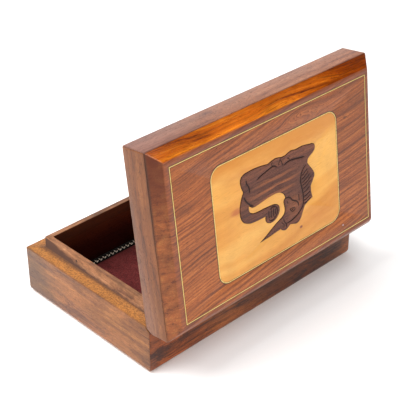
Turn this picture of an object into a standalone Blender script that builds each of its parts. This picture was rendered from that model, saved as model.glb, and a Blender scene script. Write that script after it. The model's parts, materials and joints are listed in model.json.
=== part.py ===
"""Rosewood trinket box with a hinged lid, brass line inlay and a carved horned-horse inlay.

Metres, +Z up. The origin is the centre of the base's underside, +X runs along the long side and
the hinges are at the rear, +Y. Every lid piece is laid out in the closed position and parented to
an empty on the hinge axis, which then turns the lid back to LID_OPEN, its stop. The thin gaps
between glued pieces are the glue lines.
"""

import math

import bmesh
import bpy
from mathutils import Matrix, Vector

MM = 0.001

# Whole box
WIDTH = 203 * MM
DEPTH = 131.5 * MM
LID_OPEN = math.radians(82.6)
CORNER_ROUND = 1.2 * MM
GLUE = 0.1 * MM
OVERRUN = 3 * MM

# Base: four mitred walls with a shelf outside and a lip inside, and a bottom let in from below
BASE_H = 37 * MM
LIP_H = 9 * MM
LIP_T = 4 * MM
SHELF = 10.25 * MM
WALL = SHELF + LIP_T
FOOT_ROUND = 3.5 * MM
BOTTOM_T = 3 * MM
BOTTOM_LAP = 4 * MM

# Lining of the base and of the lid
CARD_T = 0.9 * MM
VELVET_T = 0.6 * MM
LINING_GAP = 0.3 * MM
BRAID_H = 5.3 * MM
BRAID_T = 1.2 * MM

# Lid: four mitred rails round the lip, under one bevelled board
LIP_PLAY = 0.6 * MM
RAIL_T = SHELF - LIP_PLAY
RIM_Z = BASE_H + 0.2 * MM
BOARD_Z = 56.5 * MM
CHAMFER = 8 * MM
TOP_Z = BOARD_Z + CHAMFER

# Groove along the rear joint, which lets the lid lean back
GROOVE_IN = 3.75 * MM
GROOVE_BASE = 3.5 * MM
GROOVE_LID = 5.2 * MM

# Inlay in the board
LINE_INSET = 11.4 * MM
LINE_W = 0.9 * MM
LINE_DEEP = 1.5 * MM
PANEL_HALF_X = 58.75 * MM
PANEL_HALF_Y = 41.15 * MM
PANEL_Y = 0.85 * MM
PANEL_ROUND = 8.5 * MM
PANEL_T = 2.4 * MM
BORDER_W = 0.8 * MM
HORSE_LET_IN = 1.5 * MM
HORSE_PROUD = 0.5 * MM

# Brass butt hinges
HINGE_X = 58 * MM
HINGE_LENGTH = 25 * MM
KNUCKLES = 5
RUNNING_GAP = 0.3 * MM
AXIS_Y = DEPTH / 2 - 3.2 * MM
AXIS_Z = BASE_H - 0.6 * MM
BARREL_R = 1.7 * MM
BORE_R = 1.0 * MM
PIN_R = 0.7 * MM
LEAF_REACH = 5.6 * MM
LEAF_T = 0.8 * MM
LEAF_SUNK = 0.1 * MM

# Countersunk brass screws
SCREW_X = 7.5 * MM
SCREW_Y = AXIS_Y - 3.65 * MM
SCREW_HEAD_R = 1.3 * MM
SCREW_R = 0.7 * MM
SCREW_LENGTH = 7 * MM
SLOT_W = 0.35 * MM
SLOT_DEEP = 0.3 * MM

# The horned horse lies facing +X with its tail curled over its back. Each stretch of its outline,
# in millimetres, is a smooth curve, and a corner lies where two stretches meet.
HORSE = {
    "horn_top": [(20.5, 26.5), (12.6, 26), (1.1, 24.9)],
    "forelock": [(1.1, 24.9), (-1.1, 26.7), (-3.8, 27.6), (-6.2, 26.7), (-8.5, 25.3)],
    "ear": [(-8.5, 25.3), (-12.2, 26.5), (-14.9, 27.3), (-18.4, 25.8), (-20.6, 22.4), (-23.5, 17.5)],
    "mane_top": [(-23.5, 17.5), (-26.7, 16), (-31.7, 14.4)],
    "mane_middle": [(-31.7, 14.4), (-30.6, 9.5), (-30.5, 5.4)],
    "mane_low": [(-30.5, 5.4), (-34, 0.4), (-34.7, -1.6), (-33.9, -4.3), (-30.5, -9), (-28.3, -12.3)],
    "knee": [(-28.3, -12.3), (-29.1, -15), (-34.7, -18.1), (-36.5, -20.8), (-35.5, -23.7), (-31.5, -24.7)],
    "foreleg": [(-31.5, -24.7), (-24, -26.1), (-17.3, -25.9), (-13.5, -26.8), (-7.7, -25.4)],
    "hooves": [(-7.7, -25.4), (-4.5, -25.4), (1.5, -26.8), (8.8, -25.4)],
    "hind_leg": [(8.8, -25.4), (16.9, -26.7), (27.6, -27), (33, -25.6), (34.4, -21.7), (32.3, -14.7)],
    "tail_outside": [(32.3, -14.7), (35.3, -8.8), (36.7, -2), (35.6, 4), (31.4, 7.9), (24, 9.7), (14, 10)],
    "tuft": [(14, 10), (14.2, 13.2), (12.3, 15.6), (8, 16.6), (4.1, 15.4), (1.2, 12.2), (0.6, 8.8),
             (2.4, 6), (7, 4.4)],
    "tail_inside": [(7, 4.4), (15.2, 3.8), (23, 3.6), (27.1, 2.1), (28.7, -1), (28.2, -3.5)],
    "back": [(28.2, -3.5), (25.6, -1.2), (22.5, -0.8), (15.2, -1.7), (7, -2.4), (-0.2, -1.7),
             (-3.9, 0.9), (-5.5, 4.2)],
    "muzzle": [(-5.5, 4.2), (-3.7, 5.9), (-3.7, 7.9), (-4.3, 11.5), (-3.6, 15), (-0.9, 17)],
    "horn_under": [(-0.9, 17), (7, 20.1), (14.5, 23.9), (20.5, 26.5)],
}

SIDES = ("front", "rear", "left", "right")
LONG_WAYS = (math.pi / 2, 0, math.pi / 2)  # turns an outline drawn in Y, Z to face along +X


def clear_scene():
    for obj in list(bpy.data.objects):
        bpy.data.objects.remove(obj, do_unlink=True)


def new_collection(name, hidden=False):
    collection = bpy.data.collections.new(name)
    collection.hide_render = hidden
    bpy.context.scene.collection.children.link(collection)
    return collection


def new_material(name, colour, roughness, metallic=0.0):
    material = bpy.data.materials.new(name)
    material.use_nodes = True
    shader = material.node_tree.nodes["Principled BSDF"]
    shader.inputs["Base Color"].default_value = (*colour, 1.0)
    shader.inputs["Roughness"].default_value = roughness
    shader.inputs["Metallic"].default_value = metallic
    return material


clear_scene()
PARTS = new_collection("inlaid_box")
CUTTERS = new_collection("inlaid_box_cutters", hidden=True)
ROSEWOOD = new_material("rosewood", (0.30, 0.13, 0.07), 0.35)
LIGHT_WOOD = new_material("light_wood", (0.80, 0.47, 0.17), 0.35)
DARK_WOOD = new_material("dark_wood", (0.12, 0.05, 0.04), 0.45)
BOTTOM_WOOD = new_material("bottom_wood", (0.42, 0.24, 0.12), 0.7)
BRASS = new_material("brass", (0.80, 0.60, 0.30), 0.3, 1.0)
CARD = new_material("card", (0.35, 0.27, 0.20), 0.9)
VELVET = new_material("velvet", (0.13, 0.02, 0.025), 0.95)
BRAID = new_material("braid", (0.35, 0.30, 0.22), 0.9)

LID_AXIS = bpy.data.objects.new("lid_axis", None)
LID_AXIS.location = (0, AXIS_Y, AXIS_Z)
PARTS.objects.link(LID_AXIS)


def place(name, mesh, collection, location=(0, 0, 0), rotation=(0, 0, 0), lid=False):
    """Adds the mesh to a collection, placed in closed-box coordinates, on the base or on the lid."""
    obj = bpy.data.objects.new(name, mesh)
    obj.location = location
    obj.rotation_euler = rotation
    collection.objects.link(obj)
    if lid:
        obj.parent = LID_AXIS
        obj.matrix_parent_inverse = Matrix.Translation(-LID_AXIS.location)
    return obj


def add_part(name, mesh, material, **where):
    if not mesh.materials:
        mesh.materials.append(material)
    return place(name, mesh, PARTS, **where)


def add_cutter(name, mesh, **where):
    obj = place(name, mesh, CUTTERS, **where)
    obj.hide_render = True
    obj.display_type = "WIRE"
    return obj


def cut(target, cutter, operation="DIFFERENCE"):
    modifier = target.modifiers.new(cutter.name, "BOOLEAN")
    modifier.operation = operation
    modifier.solver = "EXACT"
    modifier.object = cutter


def mesh_from(bm, name):
    bmesh.ops.recalc_face_normals(bm, faces=bm.faces)
    mesh = bpy.data.meshes.new(name)
    bm.to_mesh(mesh)
    bm.free()
    return mesh


def box_mesh(name, size):
    bm = bmesh.new()
    bmesh.ops.create_cube(bm, size=1)
    bmesh.ops.scale(bm, vec=size, verts=bm.verts)
    return mesh_from(bm, name)


def span_box(name, low, high, **where):
    """A box cutter between two opposite corners."""
    low, high = Vector(low), Vector(high)
    return add_cutter(name, box_mesh(name, high - low), location=(low + high) / 2, **where)


def cylinder_row(name, radius, spans, sides):
    """Cylinders along X, one for each span, in one mesh about the origin."""
    bm = bmesh.new()
    for start, end in spans:
        middle = Matrix.Translation(((start + end) / 2, 0, 0))
        bmesh.ops.create_cone(
            bm, cap_ends=True, segments=sides, radius1=radius, radius2=radius,
            depth=end - start, matrix=middle @ Matrix.Rotation(math.pi / 2, 4, "Y"),
        )
    return mesh_from(bm, name)


def bevel_corners(bm, width):
    """Rounds the edges that run down the block's four corners, straight or sloping."""
    def on_corner(point):
        return abs((WIDTH / 2 - abs(point.x)) - (DEPTH / 2 - abs(point.y))) < 1e-6

    edges = [
        edge for edge in bm.edges
        if all(on_corner(vertex.co) for vertex in edge.verts)
        and abs(edge.verts[0].co.z - edge.verts[1].co.z) > 1e-6
    ]
    bmesh.ops.bevel(bm, geom=edges, offset=width, segments=2, profile=0.5, affect="EDGES")


def block_mesh(name, height, foot_round=0.0):
    """A block of the box's full width and depth, with rounded corners and, if asked, a rounded foot."""
    bm = bmesh.new()
    bmesh.ops.create_cube(bm, size=1)
    bmesh.ops.scale(bm, vec=(WIDTH, DEPTH, height), verts=bm.verts)
    if foot_round:
        foot = [edge for edge in bm.edges if all(vertex.co.z < 0 for vertex in edge.verts)]
        bmesh.ops.bevel(bm, geom=foot, offset=foot_round, segments=4, profile=0.5, affect="EDGES")
    bevel_corners(bm, CORNER_ROUND)
    return mesh_from(bm, name)


def board_mesh(name):
    """The lid's board, bevelled on all four sides over its whole thickness."""
    bm = bmesh.new()
    bmesh.ops.create_cube(bm, size=1)
    bmesh.ops.scale(bm, vec=(WIDTH, DEPTH, CHAMFER), verts=bm.verts)
    for vertex in bm.verts:
        if vertex.co.z > 0:
            vertex.co.x -= math.copysign(CHAMFER, vertex.co.x)
            vertex.co.y -= math.copysign(CHAMFER, vertex.co.y)
    bevel_corners(bm, CORNER_ROUND * math.sqrt(2 / 3))
    return mesh_from(bm, name)


def straight_loop(curve, points):
    spline = curve.splines.new("POLY")
    spline.points.add(len(points) - 1)
    for target, point in zip(spline.points, points):
        target.co = (*point, 0, 1)
    spline.use_cyclic_u = True


def stretch_loop(curve, stretches):
    """One closed Bezier spline, smooth along each stretch, with a corner at each stretch's ends."""
    points = [(point, index == 0) for stretch in stretches for index, point in enumerate(stretch[:-1])]
    spline = curve.splines.new("BEZIER")
    spline.bezier_points.add(len(points) - 1)
    for target, (point, corner) in zip(spline.bezier_points, points):
        target.co = (point[0] * MM, point[1] * MM, 0)
        target.handle_left_type = target.handle_right_type = "VECTOR" if corner else "AUTO"
    spline.use_cyclic_u = True
    spline.resolution_u = 2


def outline_mesh(name, draw_loops, thickness, grow=0.0):
    """A filled flat outline, extruded by half its thickness each way, as a welded mesh."""
    curve = bpy.data.curves.new(name, "CURVE")
    curve.dimensions = "2D"
    curve.fill_mode = "BOTH"
    curve.extrude = thickness / 2
    curve.offset = grow
    draw_loops(curve)
    holder = bpy.data.objects.new(name, curve)
    CUTTERS.objects.link(holder)
    evaluated = holder.evaluated_get(bpy.context.evaluated_depsgraph_get())
    raw = bpy.data.meshes.new_from_object(evaluated)
    bm = bmesh.new()
    bm.from_mesh(raw)
    bmesh.ops.remove_doubles(bm, verts=bm.verts, dist=1e-6)
    bpy.data.objects.remove(holder)
    bpy.data.curves.remove(curve)
    bpy.data.meshes.remove(raw)
    return mesh_from(bm, name)


def rectangle(inset):
    """The box's outline in plan, drawn in by inset on every side."""
    x, y = WIDTH / 2 - inset, DEPTH / 2 - inset
    return [(-x, -y), (x, -y), (x, y), (-x, y)]


def ring_mesh(name, outer, inner, height):
    """A rectangular ring between two insets from the box's sides."""
    def loops(curve):
        straight_loop(curve, rectangle(outer))
        straight_loop(curve, rectangle(inner))

    return outline_mesh(name, loops, height)


def rounded_rectangle(half_x, half_y, radius, steps=6):
    points = []
    for quarter, (sx, sy) in enumerate(((1, 1), (-1, 1), (-1, -1), (1, -1))):
        for step in range(steps + 1):
            angle = (quarter + step / steps) * math.pi / 2
            points.append((
                sx * (half_x - radius) + radius * math.cos(angle),
                sy * (half_y - radius) + radius * math.sin(angle),
            ))
    return points


def panel_outline(grow):
    return rounded_rectangle(PANEL_HALF_X + grow, PANEL_HALF_Y + grow, PANEL_ROUND + grow)


def mitre_wedge(name, side, low, high, lid=False):
    """What one side of the box takes in plan, between 45 degree mitres half a glue line back."""
    x, y = WIDTH / 2 + OVERRUN, DEPTH / 2 + OVERRUN
    ridge = WIDTH / 2 - DEPTH / 2
    back = GLUE / math.sqrt(2)
    outline = {
        "front": [(-x, -y - back), (x, -y - back), (ridge, -back), (-ridge, -back)],
        "rear": [(-x, y + back), (-ridge, back), (ridge, back), (x, y + back)],
        "left": [(-x - back, -y), (-ridge - back, 0), (-x - back, y)],
        "right": [(x + back, -y), (x + back, y), (ridge + back, 0)],
    }[side]
    mesh = outline_mesh(name, lambda curve: straight_loop(curve, outline), high - low)
    return add_cutter(name, mesh, location=(0, 0, (low + high) / 2), lid=lid)


BASE_WEDGES = {
    side: mitre_wedge(f"base_mitre_{side}", side, -OVERRUN, BASE_H + LIP_H + OVERRUN) for side in SIDES
}
LID_WEDGES = {side: mitre_wedge(f"lid_mitre_{side}", side, BASE_H - OVERRUN, TOP_Z + OVERRUN, lid=True)
              for side in SIDES}


def mitred_ring(name, outer, inner, low, high, material, lid=False):
    """Four mitred strips round the box between two insets, named by filling {} in the name."""
    mesh = ring_mesh(name.format("ring"), outer, inner, high - low)
    wedges = LID_WEDGES if lid else BASE_WEDGES
    for side in SIDES:
        strip = add_part(name.format(side), mesh, material, location=(0, 0, (low + high) / 2), lid=lid)
        cut(strip, wedges[side], "INTERSECT")


def groove_cutter(name, rise, lid):
    """The wedge of wood missing along the rear joint, below the joint on the base or above on the lid."""
    joint = RIM_Z if lid else BASE_H
    slope = rise / GROOVE_IN
    inner_y, outer_y = DEPTH / 2 - GROOVE_IN - OVERRUN, DEPTH / 2 + OVERRUN
    inner_z = joint - slope * OVERRUN
    outer_z = inner_z + slope * (outer_y - inner_y)
    outline = [(inner_y, inner_z), (outer_y, inner_z), (outer_y, outer_z)]
    mesh = outline_mesh(name, lambda curve: straight_loop(curve, outline), WIDTH + 2 * OVERRUN)
    return add_cutter(name, mesh, rotation=LONG_WAYS, lid=lid)


def screw_mesh(name, clearance=0.0):
    """A countersunk screw pointing down with its head's face at the origin; its hole is a little larger."""
    head, shank = SCREW_HEAD_R + clearance, SCREW_R + clearance
    cone = SCREW_HEAD_R - SCREW_R
    tip = 1.5 * MM
    profile = [
        (0, clearance), (head, clearance), (head, 0), (shank, -cone),
        (shank, tip - SCREW_LENGTH - clearance), (0, -SCREW_LENGTH - clearance),
    ]
    if not clearance:
        profile.pop(1)
        profile[0] = (0, 0)
    bm = bmesh.new()
    points = [bm.verts.new((radius, 0, height)) for radius, height in profile]
    for first, second in zip(points, points[1:]):
        bm.edges.new((first, second))
    mesh = bpy.data.meshes.new(name)
    bm.to_mesh(mesh)
    bm.free()
    return mesh


def turn(obj):
    screw = obj.modifiers.new("turned", "SCREW")
    screw.steps = screw.render_steps = 16
    screw.use_merge_vertices = True
    screw.merge_threshold = 1e-6
    return obj


SCREW = screw_mesh("hinge_screw")
SCREW_HOLE = screw_mesh("hinge_screw_hole", clearance=GLUE)


def leaf_levels(lid):
    """The lowest and highest level of a leaf, sunk just below the wood it is let into."""
    if lid:
        return RIM_Z + LEAF_SUNK, RIM_Z + LEAF_SUNK + LEAF_T
    return BASE_H - LEAF_SUNK - LEAF_T, BASE_H - LEAF_SUNK


def knuckle_spans(owner, grow=0.0):
    """The knuckles along X about the hinge's middle: even ones are the base's and odd ones the lid's."""
    pitch = HINGE_LENGTH / KNUCKLES
    inset = RUNNING_GAP / 2 - grow
    return [
        (index * pitch - HINGE_LENGTH / 2 + inset, (index + 1) * pitch - HINGE_LENGTH / 2 - inset)
        for index in range(KNUCKLES) if index % 2 == owner
    ]


def add_leaf(name, x, lid):
    """One leaf with its knuckles, notched round the other leaf's knuckles and bored for the pin."""
    owner = 1 if lid else 0
    low, high = leaf_levels(lid)
    on_axis = (x, AXIS_Y, AXIS_Z)
    plate = box_mesh(name, (HINGE_LENGTH - RUNNING_GAP, LEAF_REACH, high - low))
    leaf = add_part(name, plate, BRASS, location=(x, AXIS_Y - LEAF_REACH / 2, (low + high) / 2), lid=lid)
    notch = cylinder_row(
        f"{name}_notches", BARREL_R + RUNNING_GAP, knuckle_spans(1 - owner, RUNNING_GAP), 24)
    cut(leaf, add_cutter(f"{name}_notches", notch, location=on_axis, lid=lid))
    knuckles = cylinder_row(f"{name}_knuckles", BARREL_R, knuckle_spans(owner), 20)
    cut(leaf, add_cutter(f"{name}_knuckles", knuckles, location=on_axis, lid=lid), "UNION")
    bore = cylinder_row(f"{name}_bore", BORE_R, [(-HINGE_LENGTH, HINGE_LENGTH)], 16)
    cut(leaf, add_cutter(f"{name}_bore", bore, location=on_axis, lid=lid))
    return leaf


def add_screws(hinge, x, leaf, wood, lid):
    """Two screws through the leaf into the wood; the lid's point up."""
    part = "lid" if lid else "base"
    face = leaf_levels(lid)[0 if lid else 1]
    rotation = (math.pi, 0, 0) if lid else (0, 0, 0)
    for number, offset in enumerate((-SCREW_X, SCREW_X), start=1):
        name = f"{hinge}_{part}_screw_{number}"
        where = {"location": (x + offset, SCREW_Y, face), "rotation": rotation, "lid": lid}
        screw = turn(add_part(name, SCREW, BRASS, **where))
        slot = box_mesh(f"{name}_slot", (4 * SCREW_HEAD_R, SLOT_W, 2 * SLOT_DEEP))
        cut(screw, add_cutter(f"{name}_slot", slot, **where))
        hole = turn(add_cutter(f"{name}_hole", SCREW_HOLE, **where))
        cut(leaf, hole)
        cut(wood, hole)


def let_in_hinge(hinge, x, wood, lid):
    """The pocket for a leaf and the hollow for the barrel, cut in the rear wall or the rear rail."""
    part = "lid" if lid else "base"
    low, high = leaf_levels(lid)
    half = HINGE_LENGTH / 2 + RUNNING_GAP
    pocket = span_box(
        f"{hinge}_{part}_pocket",
        (x - half, AXIS_Y - LEAF_REACH - GLUE, low - (OVERRUN if lid else GLUE)),
        (x + half, AXIS_Y, high + (GLUE if lid else OVERRUN)),
        lid=lid,
    )
    hollow = cylinder_row(f"{hinge}_{part}_hollow", BARREL_R + RUNNING_GAP, [(-half, half)], 24)
    cut(wood, pocket)
    cut(wood, add_cutter(f"{hinge}_{part}_hollow", hollow, location=(x, AXIS_Y, AXIS_Z), lid=lid))


def build_base():
    height = BASE_H + LIP_H
    block = block_mesh("base_wall", height, FOOT_ROUND)
    cavity = span_box(
        "base_cavity",
        (WALL - WIDTH / 2, WALL - DEPTH / 2, -OVERRUN),
        (WIDTH / 2 - WALL, DEPTH / 2 - WALL, height + OVERRUN),
    )
    lap = WALL - BOTTOM_LAP
    bottom_rebate = span_box(
        "bottom_rebate",
        (lap - WIDTH / 2, lap - DEPTH / 2, -OVERRUN),
        (WIDTH / 2 - lap, DEPTH / 2 - lap, BOTTOM_T + GLUE),
    )
    shelf_cut = LIP_H + OVERRUN
    shelf = add_cutter(
        "shelf_rebate", ring_mesh("shelf_rebate", -OVERRUN, SHELF, shelf_cut),
        location=(0, 0, BASE_H + shelf_cut / 2))
    groove = groove_cutter("base_groove", -GROOVE_BASE, lid=False)
    walls = {}
    for side in SIDES:
        wall = add_part(f"base_{side}_wall", block, ROSEWOOD, location=(0, 0, height / 2))
        for cutter in (cavity, bottom_rebate, shelf) + ((groove,) if side != "front" else ()):
            cut(wall, cutter)
        walls[side] = wall
    bottom_inset = lap + GLUE
    bottom = box_mesh("base_bottom_panel", (WIDTH - 2 * bottom_inset, DEPTH - 2 * bottom_inset, BOTTOM_T))
    add_part("base_bottom_panel", bottom, BOTTOM_WOOD, location=(0, 0, BOTTOM_T / 2))
    return walls


def build_lining(prefix, wall, level, up, lid):
    """Velvet over card on the floor or under the lid, then braid round its edge; up is +1 or -1."""
    size_x = WIDTH - 2 * (wall + LINING_GAP)
    size_y = DEPTH - 2 * (wall + LINING_GAP)
    for name, thickness, material in (("card", CARD_T, CARD), ("velvet", VELVET_T, VELVET)):
        sheet = box_mesh(f"{prefix}_{name}", (size_x, size_y, thickness))
        middle = level + up * (GLUE + thickness / 2)
        add_part(f"{prefix}_{name}", sheet, material, location=(0, 0, middle), lid=lid)
        level += up * (GLUE + thickness)
    ends = sorted((level + up * GLUE, level + up * (GLUE + BRAID_H)))
    mitred_ring(prefix + "_braid_{}", wall + GLUE, wall + GLUE + BRAID_T, *ends, BRAID, lid=lid)


def build_lid_frame():
    """The four rails, from the rim up to the glue line under the board."""
    height = BOARD_Z - GLUE - RIM_Z
    block = block_mesh("lid_rail", height)
    cavity = span_box(
        "lid_cavity",
        (RAIL_T - WIDTH / 2, RAIL_T - DEPTH / 2, RIM_Z - OVERRUN),
        (WIDTH / 2 - RAIL_T, DEPTH / 2 - RAIL_T, BOARD_Z + OVERRUN),
        lid=True,
    )
    groove = groove_cutter("lid_groove", GROOVE_LID, lid=True)
    rails = {}
    for side in SIDES:
        middle = (0, 0, RIM_Z + height / 2)
        rail = add_part(f"lid_{side}_rail", block, ROSEWOOD, location=middle, lid=True)
        for cutter in (cavity,) + ((groove,) if side != "front" else ()):
            cut(rail, cutter)
        rails[side] = rail
    return rails


def build_lid_top():
    """The board, with the brass lines, the light panel in its brass border and the carved horse."""
    board = add_part(
        "lid_top_board", board_mesh("lid_top_board"), ROSEWOOD,
        location=(0, 0, BOARD_Z + CHAMFER / 2), lid=True)
    half_line = LINE_W / 2
    groove_deep = LINE_DEEP + GLUE + OVERRUN
    line_groove = ring_mesh(
        "line_groove", LINE_INSET - half_line - GLUE, LINE_INSET + half_line + GLUE, groove_deep)
    middle = (0, 0, TOP_Z + OVERRUN - groove_deep / 2)
    cut(board, add_cutter("line_groove", line_groove, location=middle, lid=True))
    mitred_ring("brass_line_{}", LINE_INSET - half_line, LINE_INSET + half_line,
                TOP_Z - LINE_DEEP, TOP_Z, BRASS, lid=True)

    pocket_deep = PANEL_T + GLUE + OVERRUN
    pocket = outline_mesh(
        "panel_pocket", lambda curve: straight_loop(curve, panel_outline(BORDER_W / 2 + GLUE)), pocket_deep)
    middle = (0, PANEL_Y, TOP_Z + OVERRUN - pocket_deep / 2)
    cut(board, add_cutter("panel_pocket", pocket, location=middle, lid=True))

    def border_loops(curve):
        straight_loop(curve, panel_outline(BORDER_W / 2))
        straight_loop(curve, panel_outline(-BORDER_W / 2))

    on_panel = {"location": (0, PANEL_Y, TOP_Z - PANEL_T / 2), "lid": True}
    add_part("panel_brass_border", outline_mesh("panel_brass_border", border_loops, PANEL_T), BRASS, **on_panel)
    panel_mesh = outline_mesh(
        "light_wood_panel", lambda curve: straight_loop(curve, panel_outline(-BORDER_W / 2 - GLUE)), PANEL_T)
    panel = add_part("light_wood_panel", panel_mesh, LIGHT_WOOD, **on_panel)

    def horse_loop(curve):
        stretch_loop(curve, HORSE.values())

    horse_t = HORSE_LET_IN + HORSE_PROUD
    seat_t = HORSE_LET_IN + GLUE + OVERRUN
    seat = outline_mesh("horse_seat", horse_loop, seat_t, grow=GLUE)
    cut(panel, add_cutter("horse_seat", seat, location=(0, 0, TOP_Z + OVERRUN - seat_t / 2), lid=True))
    horse = outline_mesh("horned_horse_inlay", horse_loop, horse_t)
    add_part("horned_horse_inlay", horse, DARK_WOOD,
             location=(0, 0, TOP_Z + HORSE_PROUD - horse_t / 2), lid=True)


def build_hinges(rear_wall, rear_rail):
    for hinge, x in (("left_hinge", -HINGE_X), ("right_hinge", HINGE_X)):
        for part, wood, lid in (("base", rear_wall, False), ("lid", rear_rail, True)):
            leaf = add_leaf(f"{hinge}_{part}_leaf", x, lid)
            let_in_hinge(hinge, x, wood, lid)
            add_screws(hinge, x, leaf, wood, lid)
        pin = cylinder_row(f"{hinge}_pin", PIN_R, [(-HINGE_LENGTH / 2, HINGE_LENGTH / 2)], 16)
        add_part(f"{hinge}_pin", pin, BRASS, location=(x, AXIS_Y, AXIS_Z))


def build_box():
    walls = build_base()
    rails = build_lid_frame()
    build_hinges(walls["rear"], rails["rear"])
    for side in SIDES:
        cut(walls[side], BASE_WEDGES[side], "INTERSECT")
        cut(rails[side], LID_WEDGES[side], "INTERSECT")
    build_lid_top()
    build_lining("base", WALL, BOTTOM_T, 1, lid=False)
    build_lining("lid", RAIL_T, BOARD_Z, -1, lid=True)
    LID_AXIS.rotation_euler.x = -LID_OPEN
    for obj in PARTS.objects:
        if obj.type == "MESH":
            obj.data.shade_smooth()
            obj.data.set_sharp_from_angle(angle=math.radians(30))


build_box()
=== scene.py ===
import json
import math

import bmesh
import bpy
import numpy as np
from mathutils import Matrix, Vector, noise
from mathutils.geometry import delaunay_2d_cdt


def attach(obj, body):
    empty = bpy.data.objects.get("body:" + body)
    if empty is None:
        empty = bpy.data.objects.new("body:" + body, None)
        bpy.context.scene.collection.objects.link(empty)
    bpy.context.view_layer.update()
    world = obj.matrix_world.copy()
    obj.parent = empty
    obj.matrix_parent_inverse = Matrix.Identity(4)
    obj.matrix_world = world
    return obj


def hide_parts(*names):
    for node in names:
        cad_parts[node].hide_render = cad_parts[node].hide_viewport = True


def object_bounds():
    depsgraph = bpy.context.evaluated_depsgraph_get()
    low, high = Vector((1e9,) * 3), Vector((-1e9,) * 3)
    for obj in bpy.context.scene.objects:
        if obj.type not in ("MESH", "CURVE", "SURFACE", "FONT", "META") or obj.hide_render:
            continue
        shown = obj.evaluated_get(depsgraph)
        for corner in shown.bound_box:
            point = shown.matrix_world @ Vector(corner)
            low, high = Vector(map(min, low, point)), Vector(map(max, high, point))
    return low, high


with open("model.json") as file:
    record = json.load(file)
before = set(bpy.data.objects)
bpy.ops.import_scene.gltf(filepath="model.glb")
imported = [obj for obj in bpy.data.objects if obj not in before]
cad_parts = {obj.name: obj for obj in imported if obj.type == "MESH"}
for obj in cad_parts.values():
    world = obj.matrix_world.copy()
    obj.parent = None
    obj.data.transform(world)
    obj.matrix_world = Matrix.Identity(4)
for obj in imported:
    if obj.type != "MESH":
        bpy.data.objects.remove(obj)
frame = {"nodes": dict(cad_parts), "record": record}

CAD_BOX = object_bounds()
MM = 0.001
SIDES = ("front", "rear", "left", "right")
HINGES = ("left_hinge", "right_hinge")

# The lid's pieces are worked out in closed-box coordinates, where the grain and the inlay are square
# to the axes, and LID_OPEN turns them back to the rest pose.
HINGE = frame["record"]["behaviour"]["joints"][0]
OPEN_ANGLE = math.radians(HINGE["range_deg"][1])
LID_OPEN = (
    Matrix.Translation(HINGE["pos_m"])
    @ Matrix.Rotation(-OPEN_ANGLE, 4, "X")
    @ Matrix.Translation(-Vector(HINGE["pos_m"]))
)
PLACES = {"base": Matrix.Identity(4), "lid": LID_OPEN}
BODY_OF = {node: body for body, nodes in frame["record"]["behaviour"]["bodies"].items() for node in nodes}


def closed_box(node):
    """Lowest and highest corner of a CAD node with the box closed, in millimetres."""
    back = PLACES[BODY_OF[node]].inverted()
    points = np.array([back @ vertex.co for vertex in frame["nodes"][node].data.vertices]) / MM
    return Vector(points.min(0)), Vector(points.max(0))


# Sizes of the closed box in millimetres, nearly all of them measured on the CAD nodes.
WALL_LOW, WALL_HIGH = closed_box("base_front_wall")
HALF_X, HALF_Y = closed_box("base_right_wall")[1].x, -WALL_LOW.y
LIP_TOP = WALL_HIGH.z
INSIDE_X = HALF_X - (WALL_HIGH.y - WALL_LOW.y)
INSIDE_Y = -WALL_HIGH.y
SHELF = 10.25
LIP_X, LIP_Y = HALF_X - SHELF, HALF_Y - SHELF
RIM_Z = closed_box("lid_front_rail")[0].z
SHELF_Z = RIM_Z - 0.2
BOARD_LOW, BOARD_HIGH = closed_box("lid_top_board")
BOARD_Z, TOP_Z = BOARD_LOW.z, BOARD_HIGH.z
CHAMFER = TOP_Z - BOARD_Z
LID_INSIDE_X = closed_box("lid_braid_right")[1].x
LID_INSIDE_Y = closed_box("lid_braid_rear")[1].y
LINE_LOW, LINE_HIGH = closed_box("brass_line_right")
LINE_X, LINE_Y = (LINE_LOW.x + LINE_HIGH.x) / 2, LINE_HIGH.y - (LINE_HIGH.x - LINE_LOW.x) / 2
BORDER_LOW, BORDER_HIGH = closed_box("panel_brass_border")
PANEL_Y = (BORDER_LOW.y + BORDER_HIGH.y) / 2
BORDER_X, BORDER_Y = BORDER_HIGH.x, BORDER_HIGH.y - PANEL_Y
BORDER_ROUND = 8.9


# ---------------------------------------------------------------- camera, floor and lights

CAMERA_AZIMUTH = math.radians(136.07)
CAMERA_ELEVATION = math.radians(31.69)
CAMERA_ROLL = math.radians(-0.16)
CAMERA_DISTANCE = 828.3 * MM
CAMERA_RIGHT = 5.2 * MM
CAMERA_UP = 52.45 * MM
CAMERA_LENS = 99.9
DARK_AZIMUTH = math.radians(241)
DARK_ELEVATION = math.radians(52)
DARK_RADIUS = math.radians(52)
DARK_CORE = math.radians(26)


def direction(azimuth, elevation):
    """Unit vector towards a place round the box; azimuth 0 is in front of it, at -Y."""
    return Vector((
        math.sin(azimuth) * math.cos(elevation),
        -math.cos(azimuth) * math.cos(elevation),
        math.sin(elevation),
    ))


def make_camera():
    data = bpy.data.cameras.new("camera")
    data.sensor_width = 36
    data.lens = CAMERA_LENS
    data.clip_start = 0.01
    camera = bpy.data.objects.new("camera", data)
    bpy.context.scene.collection.objects.link(camera)
    back = direction(CAMERA_AZIMUTH, CAMERA_ELEVATION)
    level_right = Vector((math.cos(CAMERA_AZIMUTH), math.sin(CAMERA_AZIMUTH), 0))
    level_up = back.cross(level_right)
    right = level_right * math.cos(CAMERA_ROLL) + level_up * math.sin(CAMERA_ROLL)
    up = level_up * math.cos(CAMERA_ROLL) - level_right * math.sin(CAMERA_ROLL)
    place = back * CAMERA_DISTANCE + right * CAMERA_RIGHT + up * CAMERA_UP
    turn = Matrix((right, up, back)).transposed().to_4x4()
    camera.matrix_world = Matrix.Translation(place) @ turn
    bpy.context.scene.camera = camera


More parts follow.
